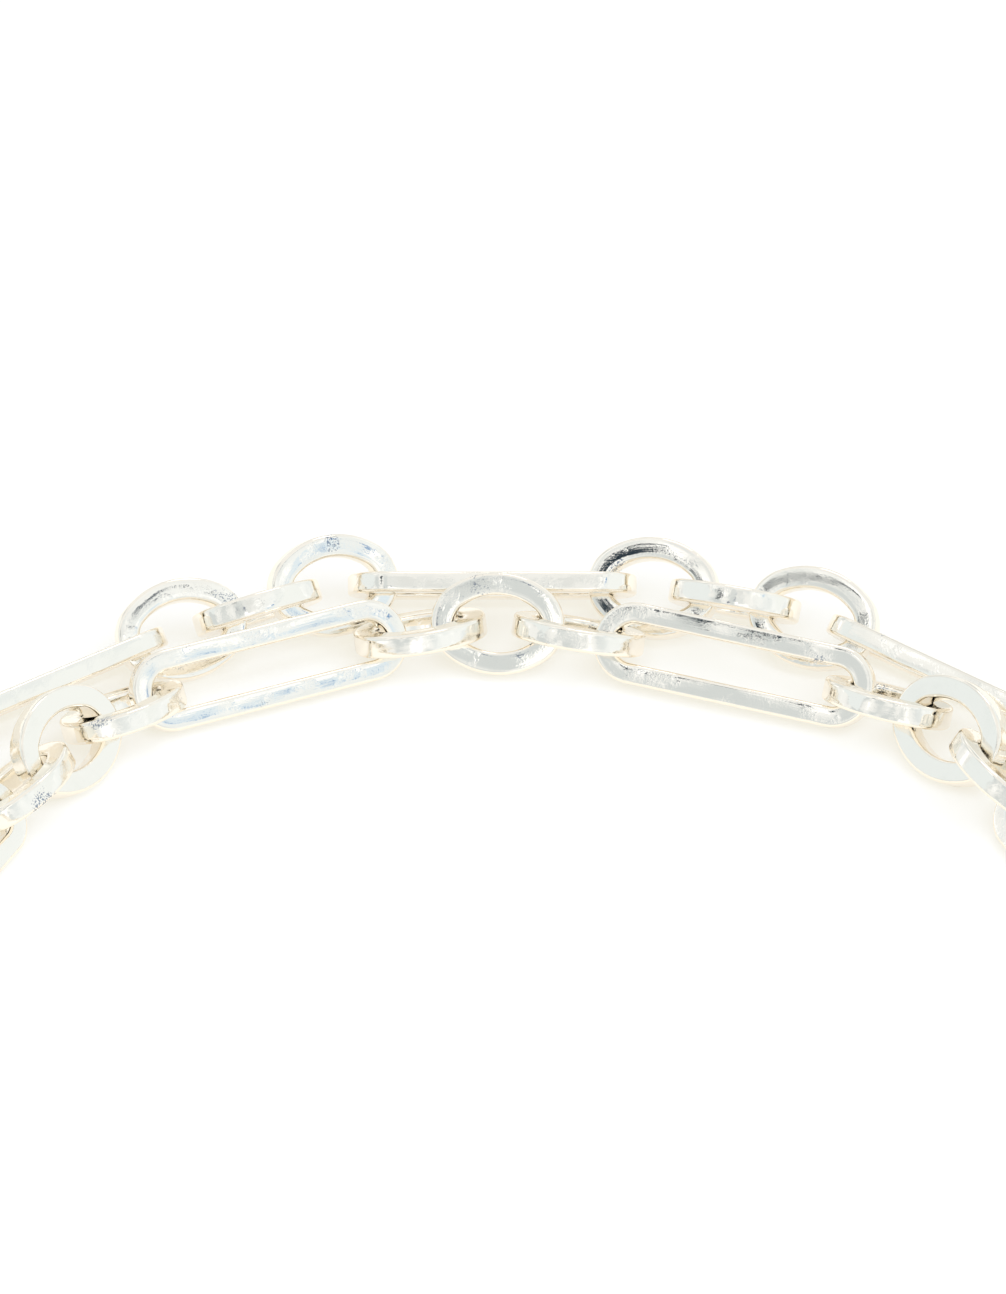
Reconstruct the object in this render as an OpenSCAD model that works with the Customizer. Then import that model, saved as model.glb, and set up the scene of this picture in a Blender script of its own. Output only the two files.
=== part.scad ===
// Layered necklace: two chains of square wire on one box clasp, lying open on a flat surface.
// Each chain repeats one long oblong link and three small oval rings, and neighbouring links
// lean opposite ways, as such a chain does when it lies down.
// The origin is the middle of the outline, on the surface. +Y is the far side of the loop, where
// both chains pass side by side, -Y is the side of the clasp, and +Z is up.

/* [Small rings] */
// Outside length of a small oval ring
ring_len = 11.1; // [11:0.1:11.3]
// Outside width of a small oval ring
ring_wid = 8.5; // [8.3:0.1:8.6]
// Outside radius of the two tighter ends of the oval
ring_end_r = 3.6; // [3.5:0.1:3.8]
// Thickness of the square wire of a small ring
ring_wire = 1.88; // [1.8:0.02:1.9]

/* [Long links] */
// Outside length of a long link
long_len = 24.1; // [24:0.1:24.3]
// Outside width of a long link
long_wid = 6.8; // [6.7:0.1:7]
// Thickness of the square wire of a long link
long_wire = 1.72; // [1.6:0.02:1.76]

/* [Wire] */
// Radius of the rounded corners of the wire
corner_r = 0.4; // [0.2:0.1:0.6]

/* [Clasp] */
// Length of the clasp along the chains, without its eyes
clasp_len = 13; // [11:0.5:16]
// Width of the clasp across the two chains
clasp_wid = 15; // [14:0.5:18]
// Height of the clasp
clasp_high = 6; // [5.5:0.5:7]
// Radius of the clasp's rounded edges
clasp_round = 2; // [1:0.5:2.5]
// Distance between the two eyes on one side of the clasp
eye_gap = 8; // [7.8:0.1:9]
// Outside radius of a soldered eye
eye_r = 3.6; // [3.5:0.1:3.8]
// Thickness of the round wire of an eye
eye_wire = 1.6; // [1.4:0.1:1.8]

/* [Hidden] */

// The two chains
INNER = 0;
OUTER = 1;
CHAINS = [INNER, OUTER];
CHAIN_NAMES = ["inner", "outer"];
LINKS = [39, 47];

// One link in each group is a long one. Links are counted from the clasp's left side.
GROUP = 4;
LONG_PLACE = [2, 0];

// Links lean about this far where they lie by themselves
rest_lean = 45;
// A ring next to a long link dips towards it, because a long link lies lower
dip = 3;
// Joint clearances: free links, links joined in a run, and the clasp's eyes
free_slack = 0.9;
joined_slack = -0.36;
eye_slack = 0.9;
// Free links lie this far above the surface
free_lift = 0.05;

// Where the middle link of each chain lies: x, y
MIDDLE = [[0, 76.4], [-0.5, 82.4]];
// Middle of the clasp
clasp_x = 0.7;
clasp_y = -77.8;
// How far each chain keeps the way it has at the edge of the sight
start_handle = [70, 44];

// The links that lie in sight at the far side. The first row is link FIRST_ROW of its chain.
// heading: way the chain runs, from +X towards +Y
// lean: roll about that way, with the outer edge of the loop up where it is positive
// lift: height above the link's own rest, where it rides on its neighbours
// slack: clearance of the joint to the next link
FIRST_ROW = [15, 20];
HEADING = 0;
LEAN = 1;
LIFT = 2;
SLACK = 3;
INNER_ROWS = [
    [57, -33, 0.2, 0.9],
    [54, 48, 0.1, 0.8],
    [37, -28, 0.4, 0.8],
    [22, 48, 0.4, 0.7],
    [12, -26, 0.7, 0.8],
    [-5, 50, 0.2, 0.6],
    [-12, -32, 0.7, 0.5],
    [-19, 48, 0.6, 0.6],
    [-28, -32, 0.6, 0.8],
    [-48, 49, 0.1, 0.5],
    [-60, -40, 0.1, 0.8]
];
OUTER_ROWS = [
    [34, -45, 0.1, 0.5],
    [21, 43, 0.1, 0.5],
    [25, -46, 0.2, 0.6],
    [20, 49, 0.4, 0.5],
    [0, -45, 0.3, 0.4],
    [-15, 44, 0.1, 0.4],
    [-15, -45, 0.1, 0.4],
    [-23, 45, 0.1, 0.5],
    [-37, -48, 0.1, 0.8]
];
ROWS = [INNER_ROWS, OUTER_ROWS];

// Links that are pieces of their own, and the runs of links joined along their thread
SINGLE = [[10, 30], [15, 33]];
RUNS = [
    [[1, 4], [5, 9], [31, 35], [36, 39]],
    [[1, 7], [8, 14], [34, 40], [41, 47]]
];
RUN_NAMES = ["left_near_clasp", "left_side", "right_side", "right_near_clasp"];

// Names

function is_long(chain, n) = n % GROUP == LONG_PLACE[chain];
function link_name(chain, n) =
    str(CHAIN_NAMES[chain], is_long(chain, n) ? "_long_" : "_ring_", n);
function run_name(chain, i) = str(CHAIN_NAMES[chain], "_run_", RUN_NAMES[i]);

// Sizes of a link

function wire_of(chain, n) = is_long(chain, n) ? long_wire : ring_wire;
function width_of(chain, n) = is_long(chain, n) ? long_wid : ring_wid;
// Half the clear length inside a link
function half_in(chain, n) =
    (is_long(chain, n) ? long_len : ring_len) / 2 - wire_of(chain, n);

// Height of a leaning link's middle when its lower edge touches the surface
function rest_height(chain, n, lean) =
    (width_of(chain, n) / 2 - corner_r) * abs(sin(lean))
    + (wire_of(chain, n) / 2 - corner_r) * abs(cos(lean)) + corner_r;

// Rows of the links in sight

function last_row(chain) = FIRST_ROW[chain] + len(ROWS[chain]) - 1;
function in_sight(chain, n) = n >= FIRST_ROW[chain] && n <= last_row(chain);
function row(chain, n) = ROWS[chain][n - FIRST_ROW[chain]];
function middle_link(chain) = (LINKS[chain] + 1) / 2;

function unit(angle) = [cos(angle), sin(angle)];

// In the inner chain the even links lean outwards, and in the outer chain the odd ones do
function rest_lean_of(chain, n) = (n + chain) % 2 == 0 ? rest_lean : -rest_lean;
function lean_of(chain, n) = in_sight(chain, n) ? row(chain, n)[LEAN] : rest_lean_of(chain, n);
function lift_of(chain, n) = in_sight(chain, n) ? row(chain, n)[LIFT] : free_lift;
function dip_of(chain, n) =
    is_long(chain, n) ? 0
    : is_long(chain, n - 1) ? dip
    : is_long(chain, n + 1) ? -dip
    : 0;

// Joint clearances

function in_run(run, n) = n >= run[0] && n < run[1];
function joined_after(chain, n) = len([for (r = RUNS[chain]) if (in_run(r, n)) r]) > 0;
function slack_after(chain, n) =
    n < 1 || n >= LINKS[chain] ? eye_slack
    : in_sight(chain, n) ? row(chain, n)[SLACK]
    : joined_after(chain, n) ? joined_slack
    : free_slack;

// Middles of the links in sight, walked from the middle link to both sides

function arm(chain, n, slack) =
    unit(row(chain, n)[HEADING]) * (half_in(chain, n) - slack / 2);
function stride(chain, n) =
    arm(chain, n, slack_after(chain, n)) + arm(chain, n + 1, slack_after(chain, n));
function middle_of(chain, n) =
    n == middle_link(chain) ? MIDDLE[chain]
    : n > middle_link(chain) ? middle_of(chain, n - 1) + stride(chain, n - 1)
    : middle_of(chain, n + 1) - stride(chain, n);

// The hidden sides: each chain bows from its last link in sight to its eye on the clasp. The
// bow is a cubic curve, and its handle at the clasp is as long as makes the links just fit.

LEFT = -1;
RIGHT = 1;

function eye_middle(chain, side) = [
    clasp_x + side * (clasp_len / 2 + eye_r - eye_wire),
    clasp_y + (chain == INNER ? eye_gap / 2 : -eye_gap / 2)
];
function eye_joint(chain, side) =
    eye_middle(chain, side) + [side * (eye_r - eye_wire - eye_slack / 2), 0];

function sight_end(chain, side) = side == LEFT ? FIRST_ROW[chain] : last_row(chain);
function side_slack(chain, side, n) = slack_after(chain, side == LEFT ? n - 1 : n);
function start_joint(chain, side) =
    let (n = sight_end(chain, side))
    middle_of(chain, n) + side * arm(chain, n, side_slack(chain, side, n));
function start_way(chain, side) = side * unit(row(chain, sight_end(chain, side))[HEADING]);

function bow(chain, side, handle) =
    let (
        a = start_joint(chain, side),
        d = eye_joint(chain, side)
    )
    [a, a + start_handle[chain] * start_way(chain, side), d + [side * handle, 0], d];

function bow_point(b, t) =
    b[0] * pow(1 - t, 3) + b[1] * 3 * t * pow(1 - t, 2) + b[2] * 3 * t * t * (1 - t)
    + b[3] * pow(t, 3);

// Link numbers of a hidden side, from the sight to the clasp, and the span of each link
function hidden_links(chain, side) =
    side == LEFT ? [for (n = [FIRST_ROW[chain] - 1 : -1 : 1]) n]
    : [for (n = [last_row(chain) + 1 : LINKS[chain]]) n];
function span(chain, n) =
    2 * half_in(chain, n) - (slack_after(chain, n - 1) + slack_after(chain, n)) / 2;

// Where a step of this length from the curve's point at t meets the curve again
function step_end(b, t, length, low, high, rounds) =
    rounds == 0 ? (low + high) / 2
    : norm(bow_point(b, (low + high) / 2) - bow_point(b, t)) < length
        ? step_end(b, t, length, (low + high) / 2, high, rounds - 1)
        : step_end(b, t, length, low, (low + high) / 2, rounds - 1);

ROUNDS = 24;
REACH = 0.35;
function steps(b, spans) = [
    for (
        i = 0, t = 0;
        i <= len(spans);
        t = i < len(spans) ? step_end(b, t, spans[i], t, min(1, t + REACH), ROUNDS) : t, i = i + 1
    ) t
];

// A longer handle bows the curve out, so the last step ends further from the clasp
SHORT_HANDLE = 20;
LONG_HANDLE = 110;
AT_END = 0.99999;
function fitted_handle(chain, side, spans, low, high, rounds) =
    let (mid = (low + high) / 2)
    rounds == 0 ? mid
    : steps(bow(chain, side, mid), spans)[len(spans)] > AT_END
        ? fitted_handle(chain, side, spans, mid, high, rounds - 1)
        : fitted_handle(chain, side, spans, low, mid, rounds - 1);

function hidden_joints(chain, side) =
    let (
        spans = [for (n = hidden_links(chain, side)) span(chain, n)],
        handle = fitted_handle(chain, side, spans, SHORT_HANDLE, LONG_HANDLE, ROUNDS),
        b = bow(chain, side, handle)
    )
    [for (t = steps(b, spans)) bow_point(b, t)];

JOINTS = [for (c = CHAINS) [hidden_joints(c, LEFT), hidden_joints(c, RIGHT)]];

// Place of a link: middle and heading. A hidden link spans two joints of its side.
function place(chain, n) =
    in_sight(chain, n) ? [middle_of(chain, n), row(chain, n)[HEADING]]
    : n < FIRST_ROW[chain] ? span_place(chain, n, JOINTS[chain][0], FIRST_ROW[chain] - n, true)
    : span_place(chain, n, JOINTS[chain][1], n - last_row(chain), false);
function span_place(chain, n, joints, i, leftward) =
    let (
        left = leftward ? joints[i] : joints[i - 1],
        right = leftward ? joints[i - 1] : joints[i],
        way = (right - left) / norm(right - left)
    )
    [left + way * (half_in(chain, n) - slack_after(chain, n - 1) / 2), atan2(way[1], way[0])];

// Rounded square section of the wire
module wire_section(wire) {
    inner = wire - 2 * corner_r;
    square([wire, inner], center = true);
    square([inner, wire], center = true);
    for (x = [-1, 1], y = [-1, 1])
        translate([x * inner / 2, y * inner / 2]) circle(corner_r, $fn = 24);
}

// Wire bent into a round, with this outside radius
module round_wire(wire, outside, angle = 360) {
    rotate_extrude(angle = angle, $fn = 96)
        translate([outside - wire / 2, 0]) wire_section(wire);
}

// Wedge that keeps the part of a round between two lines from its middle
module wedge(middle, left, right) {
    linear_extrude(2 * ring_wire, center = true) polygon([middle, left, right]);
}

// Oval ring of four arcs, two tight ends and two flatter sides. Neighbouring arcs meet on the
// line through their middles, where they run the same way.
module oval_ring() {
    end_x = ring_len / 2 - ring_end_r;
    half_w = ring_wid / 2;
    side_r = (pow(end_x, 2) + pow(half_w, 2) - pow(ring_end_r, 2)) / (2 * (half_w - ring_end_r));
    side_y = side_r - half_w;
    // The lines reach past the ring's outline
    far = [4 * end_x, 3 * side_y];
    for (s = [0, 1]) {
        mirror([s, 0, 0]) intersection() {
            translate([end_x, 0]) round_wire(ring_wire, ring_end_r);
            wedge([end_x, 0], far, [far[0], -far[1]]);
        }
        mirror([0, s, 0]) intersection() {
            translate([0, -side_y]) round_wire(ring_wire, side_r);
            wedge([0, -side_y], far, [-far[0], far[1]]);
        }
    }
}

// Oblong link: two half rounds and two straight bars
module long_link() {
    straight = long_len - long_wid;
    for (s = [0, 180]) rotate([0, 0, s]) {
        translate([straight / 2, 0]) rotate([0, 0, -90]) round_wire(long_wire, long_wid / 2, 180);
        translate([-straight / 2, (long_wid - long_wire) / 2]) rotate([90, 0, 90])
            linear_extrude(straight) wire_section(long_wire);
    }
}

// One link, at its place in its chain
module link(chain, n) {
    where = place(chain, n);
    lean = lean_of(chain, n);
    height = rest_height(chain, n, lean) + lift_of(chain, n);
    color("silver")
        translate([where[0][0], where[0][1], height])
            rotate([0, 0, where[1]]) rotate([0, -dip_of(chain, n), 0]) rotate([lean, 0, 0])
                if (is_long(chain, n)) long_link(); else oval_ring();
}

// Links of one run, joined at their joints
module link_run(chain, run) {
    for (n = [run[0] : run[1]]) link(chain, n);
}

// Plan of a box with rounded corners
module round_rectangle(long, wide, r) {
    square([long, wide - 2 * r], center = true);
    square([long - 2 * r, wide], center = true);
    for (x = [-1, 1], y = [-1, 1])
        translate([x * (long / 2 - r), y * (wide / 2 - r)]) circle(r, $fn = 48);
}

// Eye: a wire ring that leans as the links do, sunk into the clasp by its own wire
module eye(chain, side) {
    where = eye_middle(chain, side);
    lean = (chain == INNER ? -1 : 1) * rest_lean;
    height = (eye_r - eye_wire / 2) * sin(rest_lean) + eye_wire / 2;
    translate([where[0], where[1], max(height, clasp_high / 2)])
        rotate([lean, 0, 0])
            rotate_extrude($fn = 96)
                translate([eye_r - eye_wire / 2, 0]) circle(eye_wire / 2, $fn = 32);
}

// Clasp: a plain rounded block with its four eyes
module clasp() {
    color("silver") {
        translate([clasp_x, clasp_y, 0]) intersection() {
            linear_extrude(clasp_high) round_rectangle(clasp_len, clasp_wid, clasp_round);
            translate([0, clasp_wid / 2, clasp_high / 2]) rotate([90, 0, 0])
                linear_extrude(clasp_wid) round_rectangle(clasp_len, clasp_high, clasp_round);
        }
        for (chain = CHAINS, side = [LEFT, RIGHT]) eye(chain, side);
    }
}

for (c = CHAINS) for (n = [SINGLE[c][0] : SINGLE[c][1]])
    link(c, n);
for (c = CHAINS) for (i = [0 : len(RUN_NAMES) - 1])
    link_run(c, RUNS[c][i]);
clasp();
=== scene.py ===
"""Layered necklace of square silver wire: two chains on one box clasp, lying open on a pale floor.

Each chain repeats one long oblong link and three small oval rings, and neighbouring links lean
opposite ways. The two forms of link are modelled once, with their bends swept about true centres,
and every copy is set down at its place in its chain. Sizes are in millimetres up to the point
where a shape is added to the scene, which is in metres.
"""

import logging
import math
from abc import ABC, abstractmethod
from collections.abc import Callable
from dataclasses import dataclass
from enum import Enum
from itertools import accumulate

import bpy
from mathutils import Euler, Matrix, Vector


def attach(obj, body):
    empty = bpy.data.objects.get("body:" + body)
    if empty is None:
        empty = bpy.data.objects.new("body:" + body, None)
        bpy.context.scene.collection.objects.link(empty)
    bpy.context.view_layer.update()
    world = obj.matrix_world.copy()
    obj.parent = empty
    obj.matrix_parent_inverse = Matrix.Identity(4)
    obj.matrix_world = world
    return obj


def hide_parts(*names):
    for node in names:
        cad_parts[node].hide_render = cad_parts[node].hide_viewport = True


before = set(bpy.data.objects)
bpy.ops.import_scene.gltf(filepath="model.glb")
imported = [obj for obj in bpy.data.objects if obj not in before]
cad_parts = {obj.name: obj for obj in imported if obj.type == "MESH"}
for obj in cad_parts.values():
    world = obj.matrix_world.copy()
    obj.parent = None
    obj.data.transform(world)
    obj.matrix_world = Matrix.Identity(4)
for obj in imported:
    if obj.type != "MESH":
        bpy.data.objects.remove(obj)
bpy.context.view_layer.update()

logging.basicConfig(level=logging.INFO, format="%(message)s")
LOG = logging.getLogger("necklace")

Piece = bpy.types.Object
Socket = bpy.types.NodeSocket
Outputs = bpy.types.NodeOutputs
Colour = tuple[float, float, float]

MM = 0.001
BODY = "root"
WIRE_UV = "wire_uv"
CORNER_MASK = "corner"
FLOAT = "NodeSocketFloat"
COLOUR = "NodeSocketColor"
VECTOR = "NodeSocketVector"

# Vertices nearer than this merge, in millimetres
MERGE_BELOW = 0.002
# Full weight of a face's area in the normals
AREA_WEIGHT = 100
# Profile of a bevel that is an arc of a circle
ROUND_PROFILE = 0.5
# Rounds of halving in a search
HALVINGS = 24
# Numbers of a mix node's colour sockets, whose names aren't unique
MIX_FIRST, MIX_SECOND, MIX_RESULT = 6, 7, 2


class LinkForm(Enum):
    """The two forms of link."""

    RING = "ring"
    LONG = "long"


class Side(Enum):
    """The two hidden sides of a chain, from its links in sight to the clasp."""

    LEFT = -1
    RIGHT = 1


# Work in the scene


def deselect_all() -> None:
    """Leave nothing selected, so that the next operator acts only on what it adds."""
    bpy.ops.object.select_all(action="DESELECT")


def select_only(*pieces: Piece) -> None:
    """Select these objects and make the first one active.

    Args:
        pieces: The objects to select.
    """
    deselect_all()
    for piece in pieces:
        piece.select_set(True)
    bpy.context.view_layer.objects.active = pieces[0]


def spin_section(centre: Vector, turn_deg: float, steps: int) -> None:
    """Sweep the selected open section anticlockwise round an upright line through the centre."""
    bpy.ops.mesh.spin(
        steps=steps, angle=-math.radians(turn_deg), center=centre * MM, axis=(0.0, 0.0, 1.0)
    )


def extrude_section(way: Vector, steps: int) -> None:
    """Draw the selected open section out along the whole of this way, in so many steps."""
    for _ in range(steps):
        bpy.ops.mesh.extrude_edges_move(TRANSFORM_OT_translate={"value": way * MM / steps})


def close_shell() -> None:
    """Merge the doubles of the mesh in edit mode and turn its faces outwards."""
    bpy.ops.mesh.select_all(action="SELECT")
    bpy.ops.mesh.remove_doubles(threshold=MERGE_BELOW * MM)
    bpy.ops.mesh.normals_make_consistent(inside=False)


def smooth_shading(piece: Piece) -> None:
    """Shade a piece smoothly, with its flat faces kept flat by their area.

    Args:
        piece: The mesh to shade.
    """
    select_only(piece)
    bpy.ops.object.shade_smooth()
    weighted = piece.modifiers.new("flat_faces", "WEIGHTED_NORMAL")
    weighted.weight = AREA_WEIGHT
    weighted.keep_sharp = False
    bpy.ops.object.modifier_apply(modifier=weighted.name)


def joined(pieces: list[Piece]) -> Piece:
    """Join objects to one.

    Args:
        pieces: The objects, the one that the rest go into first.

    Returns:
        The first object, with all the meshes in it.
    """
    select_only(*pieces)
    bpy.ops.object.join()
    return bpy.context.object


def own_place(piece: Piece) -> None:
    """Move the place of a piece into its mesh."""
    piece.data.transform(piece.matrix_world)
    piece.matrix_world = Matrix.Identity(4)


def facing(way: Vector) -> Euler:
    """Turn that points the -Z side of an object along a way, with its Y side up."""
    return way.to_track_quat("-Z", "Y").to_euler()


def direction(azimuth_deg: float, elevation_deg: float) -> Vector:
    """Vector of length 1 from the object to a point of the studio.

    Args:
        azimuth_deg: Angle seen from above, from the camera's side towards +X.
        elevation_deg: Angle above the floor.

    Returns:
        The vector.
    """
    azimuth, elevation = math.radians(azimuth_deg), math.radians(elevation_deg)
    flat = math.cos(elevation)
    return Vector((math.sin(azimuth) * flat, -math.cos(azimuth) * flat, math.sin(elevation)))


def halve(low: float, high: float, too_low: Callable[[float], bool]) -> float:
    """Search by halving for the number where a test turns.

    Args:
        low: Start of the range.
        high: End of the range.
        too_low: Test that holds below the number sought.

    Returns:
        The middle of what is left of the range.
    """
    for _ in range(HALVINGS):
        mid = (low + high) / 2
        low, high = (mid, high) if too_low(mid) else (low, mid)
    return (low + high) / 2


def hand_over(piece: Piece, node: str, finish: bpy.types.Material) -> None:
    """Dress a finished piece, let it ride on the body and stand for its node.

    Args:
        piece: The finished piece, with its place in its mesh.
        node: The node that it stands for.
        finish: Its material.
    """
    piece.name = f"silver_{node}"
    piece.data.name = piece.name
    piece.data.materials.append(finish)
    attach(piece, BODY)
    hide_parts(node)
    LOG.info("%s: %d faces, stands for %s", piece.name, len(piece.data.polygons), node)


# The two forms of link


@dataclass(frozen=True)
class SquareWire:
    """Square wire with rounded corners and slightly crowned faces, in millimetres.

    An edge is a flat side's where it has flat_share of that side's length. A vertex is in a row
    where it is within row_reach of it, as a share of the rows' distance. The corner mask is full
    at mask_reach times the depth by which a rounded corner falls short of a sharp one.
    """

    thick: float
    corner_r: float = 0.3
    corner_steps: int = 5
    face_cuts: int = 3
    crown: float = 0.008
    flat_share: float = 0.9
    row_reach: float = 0.2
    mask_reach: float = 2.2

    def start(self, place: Vector) -> Piece:
        """Add an open section across the X axis and leave it selected in edit mode.

        Args:
            place: Middle of the section, in millimetres.

        Returns:
            The new object.
        """
        deselect_all()
        bpy.ops.mesh.primitive_plane_add(
            size=self.thick * MM,
            location=place * MM,
            rotation=(0.0, math.radians(90), 0.0),
            enter_editmode=True,
        )
        section = bpy.context.object
        bpy.ops.mesh.select_mode(type="VERT")
        bpy.ops.mesh.select_all(action="SELECT")
        bpy.ops.mesh.bevel(
            offset=self.corner_r * MM,
            segments=self.corner_steps,
            profile=ROUND_PROFILE,
            affect="VERTICES",
        )
        bpy.ops.mesh.select_all(action="SELECT")
        bpy.ops.mesh.delete(type="ONLY_FACE")
        self.crown_faces(section, place)
        bpy.ops.mesh.select_all(action="SELECT")
        return section

    def crown_faces(self, section: Piece, place: Vector) -> None:
        """Cut the four flat sides of the section and swell them a little, in edit mode.

        Args:
            section: The section.
            place: Its middle, in millimetres.
        """
        flat = self.thick - 2 * self.corner_r
        bpy.ops.mesh.select_mode(type="EDGE")
        bpy.ops.mesh.select_all(action="DESELECT")
        bpy.ops.object.mode_set(mode="OBJECT")
        for edge in section.data.edges:
            start, end = (section.data.vertices[i].co for i in edge.vertices)
            edge.select = (end - start).length > self.flat_share * flat * MM
        bpy.ops.object.mode_set(mode="EDIT")
        bpy.ops.mesh.subdivide(number_cuts=self.face_cuts)
        bpy.ops.mesh.select_mode(type="VERT")
        pitch = flat / (self.face_cuts + 1)
        for step in range(self.face_cuts // 2 + 1):
            aside = step * pitch
            swell = self.crown * (1 - (2 * aside / flat) ** 2)
            self.select_row(section, aside, self.row_reach * pitch)
            factor = 1 + swell / (self.thick / 2)
            bpy.ops.transform.resize(value=(factor,) * 3, center_override=place * MM)

    @staticmethod
    def select_row(section: Piece, aside: float, reach: float) -> None:
        """Select the vertices of the section at this distance from one of its middle lines.

        Args:
            section: The section, in edit mode.
            aside: The distance, in millimetres.
            reach: How far off the distance may be.
        """
        bpy.ops.mesh.select_mode(type="VERT")
        bpy.ops.mesh.select_all(action="DESELECT")
        bpy.ops.object.mode_set(mode="OBJECT")
        for vertex in section.data.vertices:
            across = min(abs(vertex.co.x), abs(vertex.co.y)) / MM
            vertex.select = abs(across - aside) < reach
        bpy.ops.object.mode_set(mode="EDIT")

    def corner_share(self, across: float, up: float) -> float:
        """How far a point of the surface lies in a rounded corner.

        Args:
            across: Distance from the wire's middle line in the plane of the link.
            up: Distance from that plane.

        Returns:
            0 on a flat face and 1 in the middle of a rounded corner.
        """
        flat = self.thick / 2 - self.corner_r
        over = min(max(abs(across) - flat, 0.0), max(abs(up) - flat, 0.0))
        return min(1.0, over / (self.corner_r * (1 - math.sqrt(0.5)) * self.mask_reach))


@dataclass(frozen=True)
class LinkModel(ABC):
    """One form of link, lying flat about the origin with its length along X."""

    length: float
    width: float
    wire: SquareWire

    @property
    def half_in(self) -> float:
        """Half the clear length inside the link."""
        return self.length / 2 - self.wire.thick

    @abstractmethod
    def sweep(self) -> Piece:
        """Sweep the wire once round the link and leave the mesh in edit mode."""

    @abstractmethod
    def outwards(self, x: float, y: float) -> float:
        """How far a point seen from above lies outwards from the wire's middle line.

        Args:
            x: Its place along the link, in millimetres.
            y: Its place across the link, in millimetres.

        Returns:
            The distance, below 0 inside the middle line.
        """

    def build(self) -> Piece:
        """Model the link.

        Returns:
            The link about the origin, in metres, with its UV map and its corner mask.
        """
        link = self.sweep()
        close_shell()
        bpy.ops.object.mode_set(mode="OBJECT")
        self.map_wire(link)
        smooth_shading(link)
        return link

    def map_wire(self, link: Piece) -> None:
        """Give the link a UV map of the wire's section, in millimetres, and the corner mask.

        U is the distance outwards from the wire's middle line and V the height over it.

        Args:
            link: The link in object mode.
        """
        own_place(link)
        mesh = link.data
        mask = mesh.attributes.new(CORNER_MASK, "FLOAT", "POINT")
        places = []
        for vertex in mesh.vertices:
            x, y, z = vertex.co / MM
            out = self.outwards(x, y)
            places.append((out, z))
            mask.data[vertex.index].value = self.wire.corner_share(out, z)
        layer = mesh.uv_layers.new(name=WIRE_UV)
        for loop in mesh.loops:
            layer.data[loop.index].uv = places[loop.vertex_index]


@dataclass(frozen=True)
class OvalRing(LinkModel):
    """Small oval ring of four arcs: two tight ends and two flatter sides."""

    end_r: float
    end_steps: int = 30
    side_steps: int = 14

    @property
    def end_x(self) -> float:
        """Distance from the ring's middle to the middle of a tight end."""
        return self.length / 2 - self.end_r

    @property
    def side_r(self) -> float:
        """Outside radius of a flatter side."""
        half = self.width / 2
        return (self.end_x**2 + half**2 - self.end_r**2) / (2 * (half - self.end_r))

    @property
    def side_y(self) -> float:
        """Distance from the ring's middle to the middle of a flatter side's arc."""
        return self.side_r - self.width / 2

    @property
    def side_half_turn(self) -> float:
        """Half the angle of a flatter side, in degrees."""
        return math.degrees(math.atan2(self.end_x, self.side_y))

    def sweep(self) -> Piece:
        """Sweep the wire round the four arcs, from the middle of the near side.

        Returns:
            The ring in edit mode.
        """
        half = self.side_half_turn
        ring = self.wire.start(Vector((0.0, -(self.width - self.wire.thick) / 2, 0.0)))
        spin_section(Vector((0.0, self.side_y, 0.0)), half, self.side_steps // 2)
        spin_section(Vector((self.end_x, 0.0, 0.0)), 180 - 2 * half, self.end_steps)
        spin_section(Vector((0.0, -self.side_y, 0.0)), 2 * half, self.side_steps)
        spin_section(Vector((-self.end_x, 0.0, 0.0)), 180 - 2 * half, self.end_steps)
        spin_section(Vector((0.0, self.side_y, 0.0)), half, self.side_steps // 2)
        return ring

    def outwards(self, x: float, y: float) -> float:
        """How far a point lies outwards from the middle line of the four arcs.

        Args:
            x: Its place along the ring.
            y: Its place across the ring.

        Returns:
            The distance, below 0 inside the middle line.
        """
        toward_end = math.degrees(math.atan2(abs(y), abs(x) - self.end_x))
        if toward_end <= 90 - self.side_half_turn:
            return math.hypot(abs(x) - self.end_x, y) - (self.end_r - self.wire.thick / 2)
        return math.hypot(x, abs(y) + self.side_y) - (self.side_r - self.wire.thick / 2)


@dataclass(frozen=True)
class LongLink(LinkModel):
    """Oblong link of two half rounds and two straight bars."""

    end_steps: int = 36
    bar_steps: int = 12

    @property
    def straight(self) -> float:
        """Length of a straight bar."""
        return self.length - self.width

    def sweep(self) -> Piece:
        """Sweep the wire along the bars and round the two ends.

        Returns:
            The link in edit mode.
        """
        half = self.straight / 2
        link = self.wire.start(Vector((-half, -(self.width - self.wire.thick) / 2, 0.0)))
        for side in (1, -1):
            extrude_section(Vector((side * self.straight, 0.0, 0.0)), self.bar_steps)
            spin_section(Vector((side * half, 0.0, 0.0)), 180, self.end_steps)
        return link

    def outwards(self, x: float, y: float) -> float:
        """How far a point lies outwards from the middle line of the bars and ends."""
        past_bar = max(0.0, abs(x) - self.straight / 2)
        return math.hypot(past_bar, y) - (self.width - self.wire.thick) / 2


# How a chain lies


@dataclass(frozen=True)
class Row:
    """One link in sight.

    heading is the way the chain runs, in degrees from +X towards +Y, and lean the roll about
    that way, with the outer edge of the loop up where it is positive. lift is the height above
    the link's own rest, and slack the clearance of the joint to the next link.
    """

    heading: float
    lean: float
    lift: float
    slack: float


@dataclass(frozen=True)
class Run:
    """A run of hidden links that are joined along their thread."""

    name: str
    first: int
    last: int


def unit(angle_deg: float) -> Vector:
    """Flat vector of length 1 at this angle from +X."""
    return Vector((math.cos(math.radians(angle_deg)), math.sin(math.radians(angle_deg))))


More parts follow.
